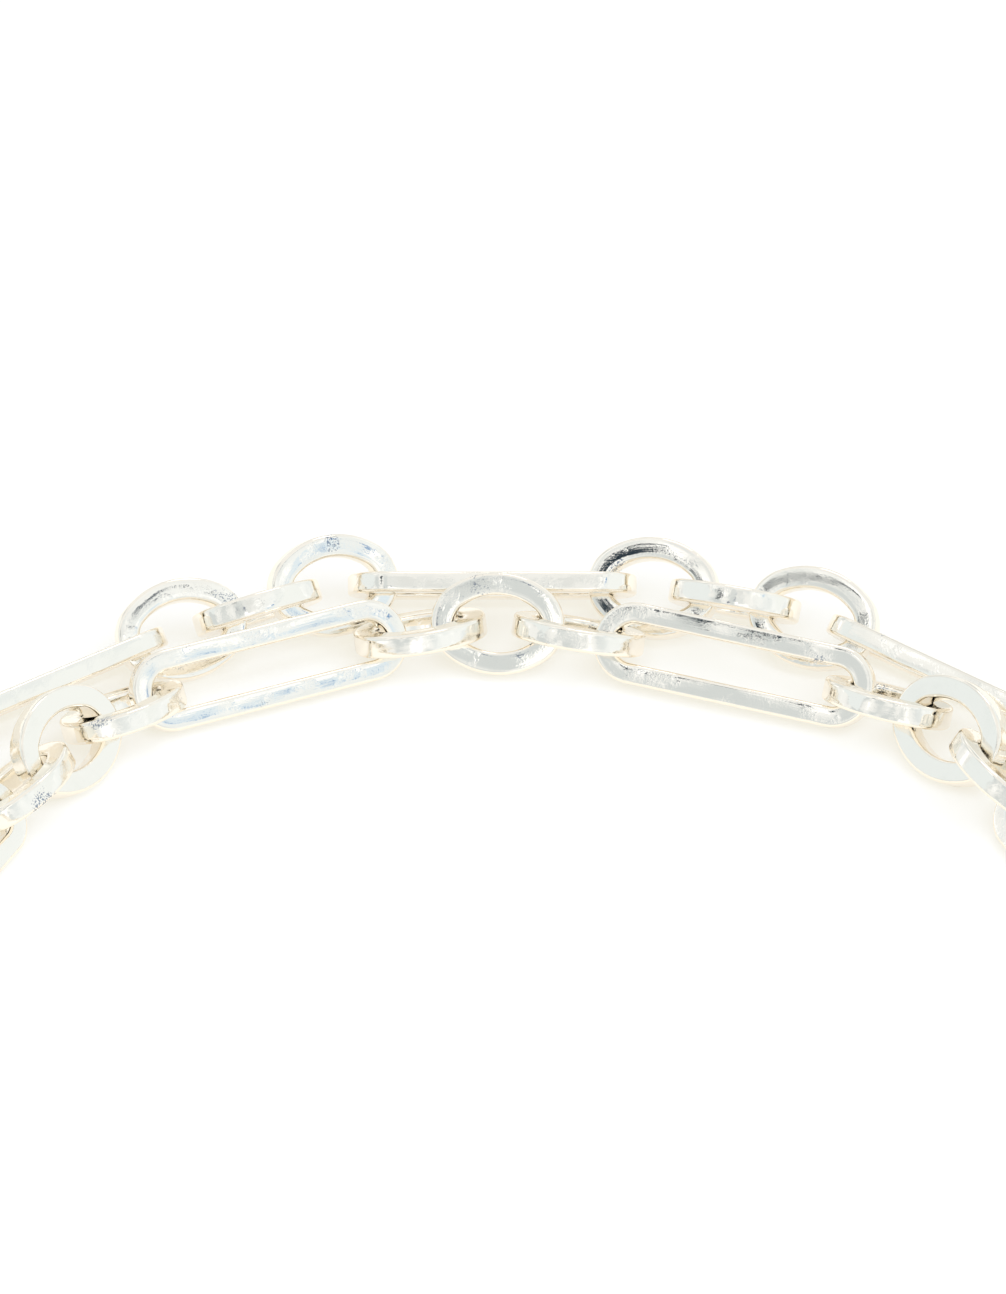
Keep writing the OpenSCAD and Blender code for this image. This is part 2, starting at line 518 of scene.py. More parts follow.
@dataclass(frozen=True)
class Bow:
    """Cubic curve of a hidden side, from the last link in sight to the eye of the clasp."""

    points: tuple[Vector, Vector, Vector, Vector]
    reach: float = 0.35

    def at(self, t: float) -> Vector:
        """Point of the curve at t, from 0 to 1."""
        (a, b, c, d), s = self.points, 1 - t
        return a * s**3 + b * (3 * t * s * s) + c * (3 * t * t * s) + d * t**3

    def step_end(self, t: float, length: float) -> float:
        """The curve's t where a straight step of this length from its point at t ends on it."""
        start, limit = self.at(t), min(1.0, t + self.reach)
        return halve(t, limit, lambda end: (self.at(end) - start).length < length)

    def steps(self, spans: list[float]) -> list[float]:
        """The curve's t at each joint of a row of spans, from 0 on."""
        return list(accumulate(spans, self.step_end, initial=0.0))


@dataclass(frozen=True)
class ClaspSize:
    """Sizes of the clasp and its eyes, in millimetres."""

    x: float = 0.7
    y: float = -77.8
    length: float = 13.0
    width: float = 15.0
    height: float = 6.0
    round_r: float = 2.0
    eye_gap: float = 8.0
    eye_r: float = 3.6
    eye_wire: float = 1.6
    eye_slack: float = 0.9
    eye_lean: float = 45.0

    @property
    def joint_reach(self) -> float:
        """Distance along X from the clasp's middle to its joint with a chain."""
        return self.length / 2 + 2 * (self.eye_r - self.eye_wire) - self.eye_slack / 2

    def eye_y(self, parity: int) -> float:
        """Place across of the eyes of a chain, with parity 0 for the inner one."""
        return self.y + (-self.eye_gap / 2 if parity else self.eye_gap / 2)


@dataclass(frozen=True)
class ChainPlan:
    """Where every link of one chain lies. Links are counted from the clasp's left side.

    parity is 0 for the inner chain and 1 for the outer one. long_place is the place of the long
    link in each group, middle the middle of the central link, start_handle the handle of a
    hidden side's curve at the sight, and first_row the number of the first link in sight.
    """

    name: str
    parity: int
    links: int
    long_place: int
    middle: Vector
    start_handle: float
    first_row: int
    rows: tuple[Row, ...]
    singles: tuple[int, int]
    runs: tuple[Run, ...]
    ring: OvalRing
    long: LongLink
    clasp: ClaspSize
    group: int = 4
    rest_lean: float = 45.0
    dip: float = 3.0
    free_slack: float = 0.9
    joined_slack: float = -0.36
    free_lift: float = 0.05
    handle_limits: tuple[float, float] = (20.0, 110.0)
    at_end: float = 0.99999

    @property
    def last_row(self) -> int:
        """Number of the last link in sight."""
        return self.first_row + len(self.rows) - 1

    def form(self, n: int) -> LinkForm:
        """Form of link n."""
        return LinkForm.LONG if n % self.group == self.long_place else LinkForm.RING

    def model(self, n: int) -> LinkModel:
        """Sizes of link n."""
        return self.long if self.form(n) is LinkForm.LONG else self.ring

    def link_name(self, n: int) -> str:
        """Name of the node of link n."""
        return f"{self.name}_{self.form(n).value}_{n}"

    def run_name(self, run: Run) -> str:
        """Name of the node of a run of links."""
        return f"{self.name}_run_{run.name}"

    def row(self, n: int) -> Row | None:
        """Row of link n, where it is in sight."""
        return self.rows[n - self.first_row] if self.first_row <= n <= self.last_row else None

    def lean(self, n: int) -> float:
        """Lean of link n, in degrees."""
        resting = self.rest_lean if (n + self.parity) % 2 == 0 else -self.rest_lean
        return self.row(n).lean if self.row(n) else resting

    def lift(self, n: int) -> float:
        """Height of link n above its own rest."""
        return self.row(n).lift if self.row(n) else self.free_lift

    def dip_of(self, n: int) -> float:
        """Dip of link n, in degrees: a ring dips towards the long link beside it."""
        dips = {1: self.dip, self.group - 1: -self.dip}
        return dips.get((n - self.long_place) % self.group, 0.0)

    def slack_after(self, n: int) -> float:
        """Clearance of the joint between link n and the next one.

        Args:
            n: Number of the link, 0 for the clasp's left side.

        Returns:
            The clearance, below 0 where the links of a run overlap.
        """
        if n < 1 or n >= self.links:
            return self.clasp.eye_slack
        if self.row(n):
            return self.row(n).slack
        in_run = any(run.first <= n < run.last for run in self.runs)
        return self.joined_slack if in_run else self.free_slack

    def arm(self, n: int, slack: float) -> Vector:
        """Way from the middle of link n in sight to its joint on the right."""
        return unit(self.row(n).heading) * (self.model(n).half_in - slack / 2)

    def sight_middles(self) -> dict[int, Vector]:
        """Walk over the links in sight, from the middle one to both sides.

        Returns:
            For each link's number its middle, seen from above.
        """
        centre = (self.links + 1) // 2
        found = {centre: self.middle}
        for n in range(centre + 1, self.last_row + 1):
            slack = self.slack_after(n - 1)
            found[n] = found[n - 1] + self.arm(n - 1, slack) + self.arm(n, slack)
        for n in range(centre - 1, self.first_row - 1, -1):
            slack = self.slack_after(n)
            found[n] = found[n + 1] - self.arm(n, slack) - self.arm(n + 1, slack)
        return found

    def eye_joint(self, side: Side) -> Vector:
        """Where the chain meets its eye of the clasp."""
        reach = side.value * self.clasp.joint_reach
        return Vector((self.clasp.x + reach, self.clasp.eye_y(self.parity)))

    def span(self, n: int) -> float:
        """Length that link n adds to a hidden side."""
        return 2 * self.model(n).half_in - (self.slack_after(n - 1) + self.slack_after(n)) / 2

    def hidden_joints(self, side: Side, middles: dict[int, Vector]) -> list[Vector]:
        """Joints of a hidden side, from the sight to the clasp.

        The handle at the clasp is as long as makes the links just fit on the curve.

        Args:
            side: Which side.
            middles: Middles of the links in sight.

        Returns:
            The joints, one more than the side has links.
        """
        left = side is Side.LEFT
        last = self.first_row if left else self.last_row
        slack = self.slack_after(last - 1 if left else last)
        links = range(last - 1, 0, -1) if left else range(last + 1, self.links + 1)
        start = middles[last] + side.value * self.arm(last, slack)
        way = side.value * unit(self.row(last).heading)
        end = self.eye_joint(side)
        spans = [self.span(n) for n in links]

        def bow(handle: float) -> Bow:
            """Curve of this side with this handle at the clasp."""
            outwards = Vector((side.value * handle, 0.0))
            return Bow((start, start + way * self.start_handle, end + outwards, end))

        handle = halve(*self.handle_limits, lambda h: bow(h).steps(spans)[-1] > self.at_end)
        curve = bow(handle)
        return [curve.at(t) for t in curve.steps(spans)]

    def places(self) -> dict[int, Matrix]:
        """Place of every link.

        Returns:
            For each link's number the matrix that sets it down, in metres.
        """
        middles = self.sight_middles()
        flat = {n: (middles[n], self.row(n).heading) for n in middles}
        for side in Side:
            joints = self.hidden_joints(side, middles)
            for i, (near, far) in enumerate(zip(joints, joints[1:]), start=1):
                n = self.first_row - i if side is Side.LEFT else self.last_row + i
                left, right = (far, near) if side is Side.LEFT else (near, far)
                way = (right - left).normalized()
                middle = left + way * (self.model(n).half_in - self.slack_after(n - 1) / 2)
                flat[n] = (middle, math.degrees(math.atan2(way.y, way.x)))
        return {n: self.placed(n, *flat[n]) for n in sorted(flat)}

    def placed(self, n: int, middle: Vector, heading: float) -> Matrix:
        """Matrix of a link at its middle and heading, leaning, and lifted above its own rest.

        Args:
            n: Number of the link.
            middle: Its middle, seen from above.
            heading: The way the chain runs there, in degrees.

        Returns:
            The matrix, in metres.
        """
        model, lean = self.model(n), math.radians(self.lean(n))
        corner_r = model.wire.corner_r
        height = (
            (model.width / 2 - corner_r) * abs(math.sin(lean))
            + (model.wire.thick / 2 - corner_r) * abs(math.cos(lean))
            + corner_r
            + self.lift(n)
        )
        return (
            Matrix.Translation(Vector((middle.x, middle.y, height)) * MM)
            @ Matrix.Rotation(math.radians(heading), 4, "Z")
            @ Matrix.Rotation(math.radians(-self.dip_of(n)), 4, "Y")
            @ Matrix.Rotation(lean, 4, "X")
        )


# Effects that several finishes share


@dataclass(frozen=True)
class NodeTree:
    """A node tree with short calls for adding, setting and joining its nodes."""

    tree: bpy.types.NodeTree

    @classmethod
    def emptied(cls, owner: bpy.types.Material | bpy.types.World) -> "NodeTree":
        """Turn on the nodes of a material or world and empty its tree.

        Args:
            owner: The material or world.

        Returns:
            Its tree.
        """
        owner.use_nodes = True
        owner.node_tree.nodes.clear()
        return cls(owner.node_tree)

    def add(self, kind: str, **values: object) -> bpy.types.Node:
        """Add a node.

        Args:
            kind: Blender's name of the node.
            values: Properties of the node.

        Returns:
            The new node.
        """
        node = self.tree.nodes.new(kind)
        for name, value in values.items():
            setattr(node, name, value)
        return node

    def set(self, node: bpy.types.Node, **values: object) -> bpy.types.Node:
        """Feed inputs of a node.

        Args:
            node: The node.
            values: Values or outputs by the inputs' names, with _ for a space.

        Returns:
            The node.
        """
        for name, value in values.items():
            self.feed(node.inputs[name.replace("_", " ")], value)
        return node

    def feed(self, target: Socket, value: object) -> None:
        """Link an output to an input, or set the input to a value.

        Args:
            target: The input.
            value: An output, a number, or a colour of red, green and blue.
        """
        if isinstance(value, Socket):
            self.tree.links.new(value, target)
        elif target.type == "RGBA":
            target.default_value = (*value, 1.0)
        else:
            target.default_value = value

    def split(self, vector: Socket) -> Outputs:
        """Part a vector into its X, Y and Z."""
        return self.set(self.add("ShaderNodeSeparateXYZ"), Vector=vector).outputs

    def put_out(self, kind: str, surface: Socket) -> None:
        """Add an output node of this kind and link the surface to it."""
        self.set(self.add(kind), Surface=surface)

    def math(self, operation: str, first: object, second: object) -> Socket:
        """Add a math node whose two inputs are sockets or numbers.

        Args:
            operation: What it works out.
            first: Its first input.
            second: Its second input.

        Returns:
            Its output.
        """
        node = self.add("ShaderNodeMath", operation=operation)
        self.feed(node.inputs[0], first)
        self.feed(node.inputs[1], second)
        return node.outputs[0]

    def ramp(self, value: Socket, low: float, high: float) -> Socket:
        """Add a range that eases from 0 at low to 1 at high."""
        node = self.add("ShaderNodeMapRange", interpolation_type="SMOOTHSTEP")
        return self.set(node, Value=value, From_Min=low, From_Max=high).outputs["Result"]

    def mix(self, share: Socket, first: object, second: object) -> Socket:
        """Add a mix of two colours, given as sockets or as values.

        Args:
            share: Share of the second colour.
            first: Colour where the share is 0.
            second: Colour where the share is 1.

        Returns:
            Its output.
        """
        node = self.set(self.add("ShaderNodeMix", data_type="RGBA"), Factor=share)
        self.feed(node.inputs[MIX_FIRST], first)
        self.feed(node.inputs[MIX_SECOND], second)
        return node.outputs[MIX_RESULT]

    def noise(self, kind: str = "3D", **values: object) -> Socket:
        """Add a noise of this many dimensions, with values or outputs for its inputs."""
        node = self.add("ShaderNodeTexNoise", noise_dimensions=kind)
        return self.set(node, **values).outputs["Fac"]

    def drawn_noise(self, vector: Socket, wire: Socket, length: Socket, per_mm: Socket) -> Socket:
        """Add a noise that is drawn out along the wire and has no seam.

        Args:
            vector: Place in the object, in metres.
            wire: Place in the wire's section, in millimetres.
            length: Length of its features along the wire, in millimetres.
            per_mm: How many there are per millimetre across the wire.

        Returns:
            Its value.
        """
        place, section = self.split(vector), self.split(wire)
        slow = self.math("DIVIDE", 1 / MM, length)
        read = self.set(
            self.add("ShaderNodeCombineXYZ"),
            X=self.math("MULTIPLY", place["X"], slow),
            Y=self.math("MULTIPLY", place["Y"], slow),
            Z=self.math("MULTIPLY", section["X"], per_mm),
        )
        fourth = self.math("MULTIPLY", section["Y"], per_mm)
        return self.noise(
            "4D", Vector=read.outputs[0], W=fourth, Scale=1.0, Detail=2.0, Roughness=0.55
        )


class Effect(ABC):
    """A node group that finishes share. It puts out colours, masks and heights only.

    Its inputs and outputs are named, each with its kind, or with the value of a number that
    stands where nothing is joined to it.
    """

    name: str
    inputs: dict[str, str | float]
    outputs: dict[str, str]

    def __init__(self) -> None:
        """Build the group once, with its named inputs and outputs."""
        self.group = bpy.data.node_groups.new(self.name, "ShaderNodeTree")
        new_socket = self.group.interface.new_socket
        for way, sockets in (("INPUT", self.inputs), ("OUTPUT", self.outputs)):
            for name, kind in sockets.items():
                if isinstance(kind, str):
                    new_socket(name=name, in_out=way, socket_type=kind)
                else:
                    new_socket(name=name, in_out=way, socket_type=FLOAT).default_value = kind
        nodes = NodeTree(self.group)
        made = self.fill(nodes, nodes.add("NodeGroupInput").outputs)
        nodes.set(nodes.add("NodeGroupOutput"), **made)

    @abstractmethod
    def fill(self, nodes: NodeTree, given: Outputs) -> dict[str, Socket]:
        """Add the group's own nodes.

        Args:
            nodes: The group's tree.
            given: Its inputs.

        Returns:
            What goes to its outputs, by their names.
        """

    def place(self, nodes: NodeTree, **values: object) -> Outputs:
        """Place the effect in a material, with values for its inputs, and return its outputs."""
        return nodes.set(nodes.add("ShaderNodeGroup", node_tree=self.group), **values).outputs


class Grain(Effect):
    """Fine speckle of plated metal: many small pits, gathered in patches."""

    name = "grain"
    inputs = {"Vector": VECTOR, "Pits Scale": 5000.0, "Patch Scale": 400.0, "Evenness": 0.12}
    outputs = {"Height": FLOAT}

    def fill(self, nodes: NodeTree, given: Outputs) -> dict[str, Socket]:
        """Add pits whose depth follows a wider noise.

        Args:
            nodes: The group's tree.
            given: Its inputs.

        Returns:
            The pits' height.
        """
        spot = given["Vector"]
        pits = nodes.noise(Vector=spot, Scale=given["Pits Scale"], Detail=2.0, Roughness=0.6)
        wide = nodes.noise(Vector=spot, Scale=given["Patch Scale"], Detail=3.0, Roughness=0.55)
        patches = nodes.ramp(wide, low=0.50, high=0.66)
        depth = nodes.math("MAXIMUM", patches, given["Evenness"])
        return {"Height": nodes.math("MULTIPLY", pits, depth)}


class Specks(Effect):
    """Mask of fine specks, gathered in a few small patches, where finishes paint dark reflections.

    crowding is how far a patch raises the noise that the specks come from.
    """

    name = "specks"
    crowding = 0.24
    inputs = {"Vector": VECTOR, "Specks Scale": 6500.0, "Patch Scale": 260.0, "Seed": 0.0}
    outputs = {"Specks": FLOAT}

    def fill(self, nodes: NodeTree, given: Outputs) -> dict[str, Socket]:
        """Add small specks where a wider noise is high.

        Args:
            nodes: The group's tree.
            given: Its inputs.

        Returns:
            The mask of the specks.
        """
        spot, seed = given["Vector"], given["Seed"]
        small = nodes.noise(Vector=spot, Scale=given["Specks Scale"], Detail=2.0, Roughness=0.6)
        wide = nodes.noise(
            "4D", Vector=spot, W=seed, Scale=given["Patch Scale"], Detail=2.0, Roughness=0.5
        )
        patches = nodes.ramp(wide, low=0.62, high=0.72)
        more = nodes.math("MULTIPLY", patches, self.crowding)
        specks = nodes.ramp(nodes.math("ADD", small, more), low=0.72, high=0.82)
        return {"Specks": nodes.math("MULTIPLY", specks, patches)}


class PolishLines(Effect):
    """Fine lines that polishing leaves along the wire, in some places only."""

    name = "polish_lines"
    inputs = {"Vector": VECTOR, "Wire UV": VECTOR, "Line Length": 4.0, "Lines per mm": 9.0}
    outputs = {"Height": FLOAT, "Lines": FLOAT}

    def fill(self, nodes: NodeTree, given: Outputs) -> dict[str, Socket]:
        """Add a noise that is drawn out along the wire.

        Args:
            nodes: The group's tree.
            given: Its inputs.

        Returns:
            The lines' height and their mask.
        """
        lines = nodes.drawn_noise(
            given["Vector"], given["Wire UV"], given["Line Length"], given["Lines per mm"]
        )
        wide = nodes.noise(Vector=given["Vector"], Scale=350.0, Detail=2.0, Roughness=0.5)
        where = nodes.ramp(wide, low=0.40, high=0.62)
        clear = nodes.ramp(lines, low=0.52, high=0.66)
        return {
            "Height": nodes.math("MULTIPLY", lines, where),
            "Lines": nodes.math("MULTIPLY", clear, where),
        }


class TarnishAndReflection(Effect):
    """Plate colour: clean metal, duller in small clouds, and a painted warm reflection on the
    corners.
    """

    # Duller clouds of tarnish, and a painted warm reflection on the rounded corners
    name = "tarnish"
    inputs = {
        "Vector": VECTOR,
        "Cloud Scale": 260.0,
        "Amount": 0.5,
        # Share and colour of the painted warm reflection on the rounded corners
        "Corner": 0.0,
        "Clean": COLOUR,
        "Warm": COLOUR,
        "Dull": COLOUR,
    }
    outputs = {"Color": COLOUR, "Clouds": FLOAT}

    def fill(self, nodes: NodeTree, given: Outputs) -> dict[str, Socket]:
        """Add clouds of duller metal, and the painted warm reflection of the rounded corners.

        Args:
            nodes: The group's tree.
            given: Its inputs.

        Returns:
            The colour and the mask of the clouds.
        """
        wide = nodes.noise(
            Vector=given["Vector"], Scale=given["Cloud Scale"], Detail=5.0, Roughness=0.6
        )
        clouds = nodes.ramp(wide, low=0.46, high=0.74)
        share = nodes.math("MULTIPLY", clouds, given["Amount"])
        plate = nodes.mix(share, given["Clean"], given["Dull"])
        # Painted warm reflection of the floor on the rounded corners
        return {"Color": nodes.mix(given["Corner"], plate, given["Warm"]), "Clouds": clouds}


class Waves(Effect):
    """Shallow unevenness of faces that were pressed and tumbled."""

    name = "waves"
    inputs = {
        "Vector": VECTOR,
        "Wire UV": VECTOR,
        "Wave Scale": 120.0,
        "Wave Length": 5.0,
        "Waves per mm": 0.7,
        "Drawn Share": 0.05,
    }
    outputs = {"Height": FLOAT}

    def fill(self, nodes: NodeTree, given: Outputs) -> dict[str, Socket]:
        """Add a wide smooth noise and a smaller one that follows the wire.

        Args:
            nodes: The group's tree.
            given: Its inputs.

        Returns:
            The waves' height.
        """
        wide = nodes.noise(
            Vector=given["Vector"], Scale=given["Wave Scale"], Detail=1.0, Roughness=0.4
        )
        drawn = nodes.drawn_noise(
            given["Vector"], given["Wire UV"], given["Wave Length"], given["Waves per mm"]
        )
        share = nodes.math("MULTIPLY", drawn, given["Drawn Share"])
        return {"Height": nodes.math("ADD", wide, share)}


@dataclass(frozen=True)
class Effects:
    """The effects, built once."""

    grain: Grain
    specks: Specks
    lines: PolishLines
    tarnish: TarnishAndReflection
    waves: Waves


# Finishes


@dataclass(frozen=True)
class SilverFinish:
    """Bright polished silver plate. Depths and lengths are in millimetres."""

    name: str
    clean: Colour = (0.972, 0.955, 0.908)
    # Painted warm reflection of the floor on the rounded corners
    corner_reflection: Colour = (0.972, 0.895, 0.775)
    dull: Colour = (0.875, 0.87, 0.82)
    # Painted warm glow of metal that other metal mirrors, which lights deep gaps, and its share
    bounce_glow: Colour = (0.975, 0.905, 0.79)
    bounce_glow_share: float = 0.5
    # Painted reflection of dark things, as dark blue specks, and its share
    speck_reflection: Colour = (0.13, 0.19, 0.30)
    speck_reflection_share: float = 0.8
    seed: float = 42.47
    tarnish: float = 0.45
    # Share of the painted warm reflection on the rounded corners
    corner_reflection_share: float = 0.45
    smoothest: float = 0.035
    roughest: float = 0.16
    grain_depth: float = 0.024
    line_depth: float = 0.004
    wave_depth: float = 0.45
    line_length: float = 4.0
    shift: tuple[float, float, float] = (0.0, 0.0, 0.0)

    def make(self, effects: Effects) -> bpy.types.Material:
        """Build the material.

        Args:
            effects: The shared effects.

        Returns:
            The material.
        """
        material = bpy.data.materials.new(self.name)
        nodes = NodeTree.emptied(material)
        where = nodes.add("ShaderNodeTexCoord").outputs["Object"]
        moved = nodes.set(nodes.add("ShaderNodeMapping"), Vector=where, Location=self.shift)
        spot = moved.outputs["Vector"]
        wire = nodes.add("ShaderNodeUVMap", uv_map=WIRE_UV).outputs["UV"]
        corner = nodes.add("ShaderNodeAttribute", attribute_name=CORNER_MASK).outputs["Fac"]
        grain = effects.grain.place(nodes, Vector=spot)
        lines = effects.lines.place(nodes, Vector=spot, Wire_UV=wire, Line_Length=self.line_length)
        waves = effects.waves.place(nodes, Vector=spot, Wire_UV=wire)
        # The plate's colour includes the painted warm reflection of the rounded corners
        plate = effects.tarnish.place(
            nodes,
            Vector=spot,
            Amount=self.tarnish,
            Corner=nodes.math("MULTIPLY", corner, self.corner_reflection_share),
            Clean=self.clean,
            Warm=self.corner_reflection,
            Dull=self.dull,
        )
        # Mask of the specks of painted dark reflection
        specks = effects.specks.place(nodes, Vector=where, Seed=self.seed)
        rough = nodes.set(
            nodes.add("ShaderNodeMapRange"),
            Value=nodes.math("MAXIMUM", plate["Clouds"], lines["Lines"]),
            To_Min=self.smoothest,
            To_Max=self.roughest,
        )
        shader = nodes.set(
            nodes.add("ShaderNodeBsdfPrincipled"),
            Metallic=1.0,
            Base_Color=self.tint(nodes, plate["Color"], specks["Specks"]),
            Roughness=rough.outputs["Result"],
            Normal=self.relief(nodes, waves["Height"], lines["Height"], grain["Height"]),
        )
        nodes.put_out("ShaderNodeOutputMaterial", shader.outputs["BSDF"])
        return material

    def relief(self, nodes: NodeTree, waves: Socket, lines: Socket, grain: Socket) -> Socket:
        """Add the bumps of the surface, each on top of the one before.

        Args:
            nodes: The material's tree.
            waves: Height of the waves.
            lines: Height of the polishing lines.
            grain: Height of the grain.

        Returns:
            The normal.
        """
        above = {}
        for height, depth in (
            (waves, self.wave_depth),
            (lines, self.line_depth),
            (grain, self.grain_depth),
        ):
            bump = nodes.add("ShaderNodeBump")
            nodes.set(bump, Strength=1.0, Distance=depth * MM, Height=height, **above)
            above = {"Normal": bump.outputs["Normal"]}
        return above["Normal"]

    def tint(self, nodes: NodeTree, plate: Socket, specks: Socket) -> Socket:
        """Add the painted warm glow of metal that other metal mirrors, and the specks of painted
        dark reflection.

        Args:
            nodes: The material's tree.
            plate: Colour of the plate.
            specks: Mask of the specks.

        Returns:
            The colour.
        """
        # Painted warm glow: metal seen in another reflection takes a warmer colour
        bounces = nodes.add("ShaderNodeLightPath").outputs["Glossy Depth"]
        depth = nodes.math("MULTIPLY", nodes.math("MINIMUM", bounces, 1.0), self.bounce_glow_share)
        colour = nodes.mix(depth, plate, self.bounce_glow)
        # Painted dark blue reflection in the specks
        return nodes.mix(nodes.math("MULTIPLY", specks, self.speck_reflection_share), colour, self.speck_reflection)


# Sub-assemblies


@dataclass(frozen=True)
class Chain:
    """One chain: its plan and the finishes of its two forms of link."""

    plan: ChainPlan
    masters: dict[LinkForm, Piece]
    finishes: dict[LinkForm, bpy.types.Material]

    def copy_link(self, n: int, place: Matrix) -> Piece:
        """Copy the modelled link, with its own mesh, to the place of link n.

        Args:
            n: Number of the link.
            place: Where it lies.

        Returns:
            The new link, with its place in its mesh.
        """
        link = self.masters[self.plan.form(n)].copy()
        link.data = link.data.copy()
        link.data.transform(place)
        bpy.context.scene.collection.objects.link(link)
        return link

    def build(self) -> None:
        """Set down the single links and the joined runs, and hand each over."""
        places = self.plan.places()
        first, last = self.plan.singles
        for n in range(first, last + 1):
            link = self.copy_link(n, places[n])
            hand_over(link, self.plan.link_name(n), self.finishes[self.plan.form(n)])
        for run in self.plan.runs:
            links = [self.copy_link(n, places[n]) for n in range(run.first, run.last + 1)]
            hand_over(joined(links), self.plan.run_name(run), self.finishes[LinkForm.RING])


@dataclass(frozen=True)
class Clasp:
    """Plain box clasp with rounded edges and four soldered eyes."""

    size: ClaspSize
    finish: bpy.types.Material
    edge_steps: int = 8
    long_edge_r: float = 0.5
    sharp_deg: float = 60.0
    eye_steps: int = 64
    eye_sides: int = 24

    def box(self) -> Piece:
        """Model the block: a cube, with its end edges rounded far and the others a little.

        Returns:
            The block, in object mode.
        """
        size = self.size
        deselect_all()
        bpy.ops.mesh.primitive_cube_add(
            size=1.0,
            location=Vector((size.x, size.y, size.height / 2)) * MM,
            scale=Vector((size.length, size.width, size.height)) * MM,
        )
        block = bpy.context.object
        bpy.ops.object.transform_apply(location=True, rotation=False, scale=True)
        bpy.ops.object.mode_set(mode="EDIT")
        for along, radius, steps in (
            (False, size.round_r, self.edge_steps),
            (True, self.long_edge_r, self.edge_steps // 2),
        ):
            self.select_edges(block, along)
            bpy.ops.mesh.bevel(offset=radius * MM, segments=steps, profile=ROUND_PROFILE)
        close_shell()
        bpy.ops.object.mode_set(mode="OBJECT")
        return block

    def select_edges(self, block: Piece, along: bool) -> None:
        """Select the sharp edges that run along X, or the ones that don't, in edit mode.

        Args:
            block: The block.
            along: Which of them.
        """
        bpy.ops.mesh.select_all(action="DESELECT")
        bpy.ops.mesh.select_mode(type="EDGE")
        bpy.ops.mesh.edges_select_sharp(sharpness=math.radians(self.sharp_deg))
        bpy.ops.object.mode_set(mode="OBJECT")
        for edge in block.data.edges:
            start, end = (block.data.vertices[i].co for i in edge.vertices)
            runs_along = abs((end - start).normalized().x) > 0.5
            edge.select = edge.select and runs_along is along
        bpy.ops.object.mode_set(mode="EDIT")

    def eye(self, parity: int, side: Side) -> Piece:
        """Model one soldered eye: a round of wire, leaning as the links do.

        Args:
            parity: 0 for the inner chain and 1 for the outer one.
            side: Side of the clasp.

        Returns:
            The eye, in object mode.
        """
        size = self.size
        line = size.eye_r - size.eye_wire / 2
        deselect_all()
        bpy.ops.mesh.primitive_circle_add(
            vertices=self.eye_sides,
            radius=size.eye_wire / 2 * MM,
            location=(line * MM, 0.0, 0.0),
            rotation=(math.radians(90), 0.0, 0.0),
            enter_editmode=True,
        )
        ring = bpy.context.object
        bpy.ops.mesh.select_all(action="SELECT")
        spin_section(Vector((0.0, 0.0, 0.0)), 360, self.eye_steps)
        close_shell()
        bpy.ops.object.mode_set(mode="OBJECT")
        own_place(ring)
        lean = math.radians(size.eye_lean if parity else -size.eye_lean)
        height = max(line * math.sin(abs(lean)) + size.eye_wire / 2, size.height / 2)
        x = size.x + side.value * (size.length / 2 + size.eye_r - size.eye_wire)
        place = Vector((x, size.eye_y(parity), height)) * MM
        ring.data.transform(Matrix.Translation(place) @ Matrix.Rotation(lean, 4, "X"))
        return ring

    def build(self) -> None:
        """Model the block and its eyes, join them and hand them over."""
        parts = [self.box(), *(self.eye(parity, side) for parity in (0, 1) for side in Side)]
        clasp = joined(parts)
        own_place(clasp)
        clasp.data.uv_layers.new(name=WIRE_UV)
        clasp.data.attributes.new(CORNER_MASK, "FLOAT", "POINT")
        smooth_shading(clasp)
        hand_over(clasp, "clasp", self.finish)


# Studio


@dataclass(frozen=True)
class Card:
    """A reflector or flag that only the metal's reflections see. Angles are in degrees."""

    name: str
    azimuth: float
    elevation: float
    distance: float
    width: float
    height: float
    colour: Colour
    strength: float

    def build(self, target: Vector) -> None:
        """Add the card, facing the target.

        Args:
            target: Middle of what is lit, in metres.
        """
        away = direction(self.azimuth, self.elevation)
        deselect_all()
        bpy.ops.mesh.primitive_plane_add(
            size=1.0, location=target + away * self.distance, rotation=facing(-away)
        )
        card = bpy.context.object
        card.name = self.name
        card.scale = (self.width, self.height, 1.0)
        material = bpy.data.materials.new(self.name)
        nodes = NodeTree.emptied(material)
        glow = nodes.add("ShaderNodeEmission")
        nodes.set(glow, Color=self.colour, Strength=self.strength)
        nodes.put_out("ShaderNodeOutputMaterial", glow.outputs[0])
        card.data.materials.append(material)
        card.visible_camera = False
        card.visible_diffuse = False
        card.visible_shadow = False


